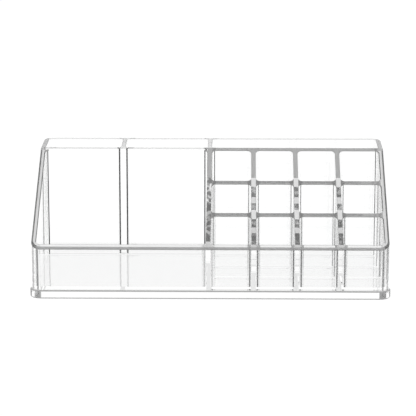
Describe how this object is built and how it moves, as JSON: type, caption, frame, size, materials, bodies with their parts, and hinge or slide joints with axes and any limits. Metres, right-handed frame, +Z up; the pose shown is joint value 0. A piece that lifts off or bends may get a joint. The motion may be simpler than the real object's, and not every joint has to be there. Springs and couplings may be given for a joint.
{
  "type": "vanity organizer",
  "caption": "Clear open-topped vanity organizer: tall rear slots, a large front compartment and a sloping block of lipstick cells on a low foot ring.",
  "frame": {"origin": "middle of the foot ring's footprint, on the surface it stands on", "axes": "+X to the right along the length, +Y from the low front to the tall rear, +Z up"},
  "size_m": [0.2156, 0.113, 0.075],
  "materials": {
    "clear_plastic": "crystal clear, polished"
  },
  "bodies": {
    "root": {"base_floor": "clear_plastic", "base_plinth": "clear_plastic", "column_divider_1": "clear_plastic", "column_divider_2": "clear_plastic", "column_divider_3": "clear_plastic", "front_wall": "clear_plastic", "left_side_wall": "clear_plastic", "lipstick_partition": "clear_plastic", "rear_wall": "clear_plastic", "right_side_wall": "clear_plastic", "row_divider_1_1": "clear_plastic", "row_divider_1_2": "clear_plastic", "row_divider_1_3": "clear_plastic", "row_divider_1_4": "clear_plastic", "row_divider_2_1": "clear_plastic", "row_divider_2_2": "clear_plastic", "row_divider_2_3": "clear_plastic", "row_divider_2_4": "clear_plastic", "slot_divider_left": "clear_plastic", "slot_divider_right": "clear_plastic", "slot_wall_left": "clear_plastic", "slot_wall_right": "clear_plastic"}
  },
  "joints": []
}
